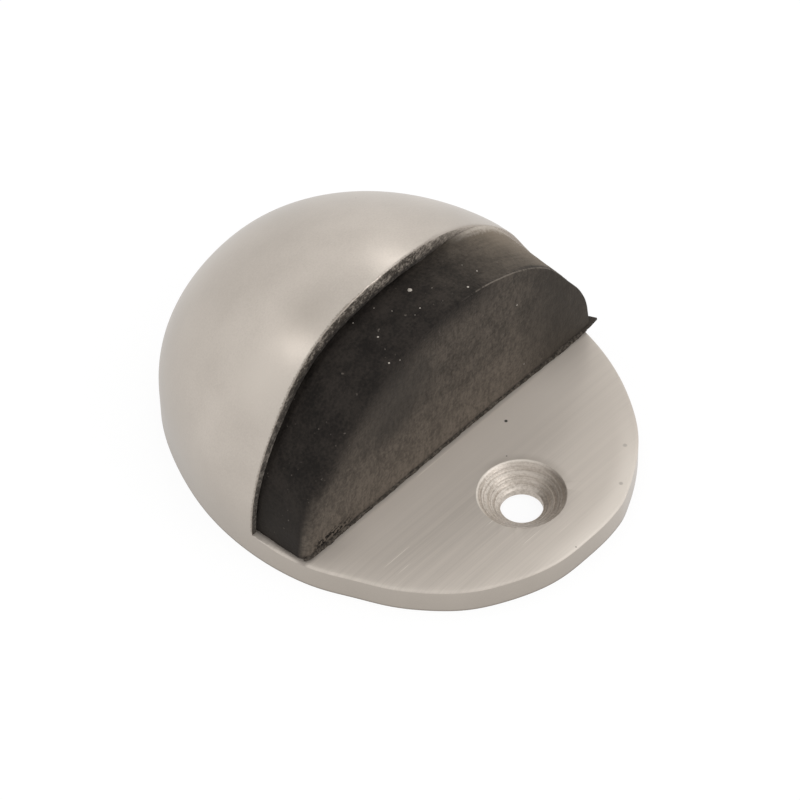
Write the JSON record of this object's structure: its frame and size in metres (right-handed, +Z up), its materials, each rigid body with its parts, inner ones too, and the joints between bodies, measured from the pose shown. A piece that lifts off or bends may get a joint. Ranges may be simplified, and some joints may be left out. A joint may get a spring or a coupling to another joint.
{
  "type": "hooded door stop",
  "caption": "Low floor door stop: an oval metal plate with a quarter-egg hood that holds an arched rubber buffer, and a countersunk screw hole in front of the buffer.",
  "frame": {"origin": "on the flat underside, on the middle line, where the oval plate is widest", "axes": "+Z up from the floor, the rubber buffer faces -Y and the hood's back +Y, +X to the right seen from in front of the rubber"},
  "size_m": [0.0446, 0.0523, 0.024],
  "materials": {
    "satin_nickel": "satin nickel plate on a zinc casting, finely linished",
    "black_rubber": "matt moulded rubber, scuffed on its front",
    "screw_steel": "zinc-plated steel"
  },
  "bodies": {
    "root": {"hood_body": "satin_nickel", "rubber_buffer": "black_rubber", "buffer_screw": "screw_steel"}
  },
  "joints": []
}
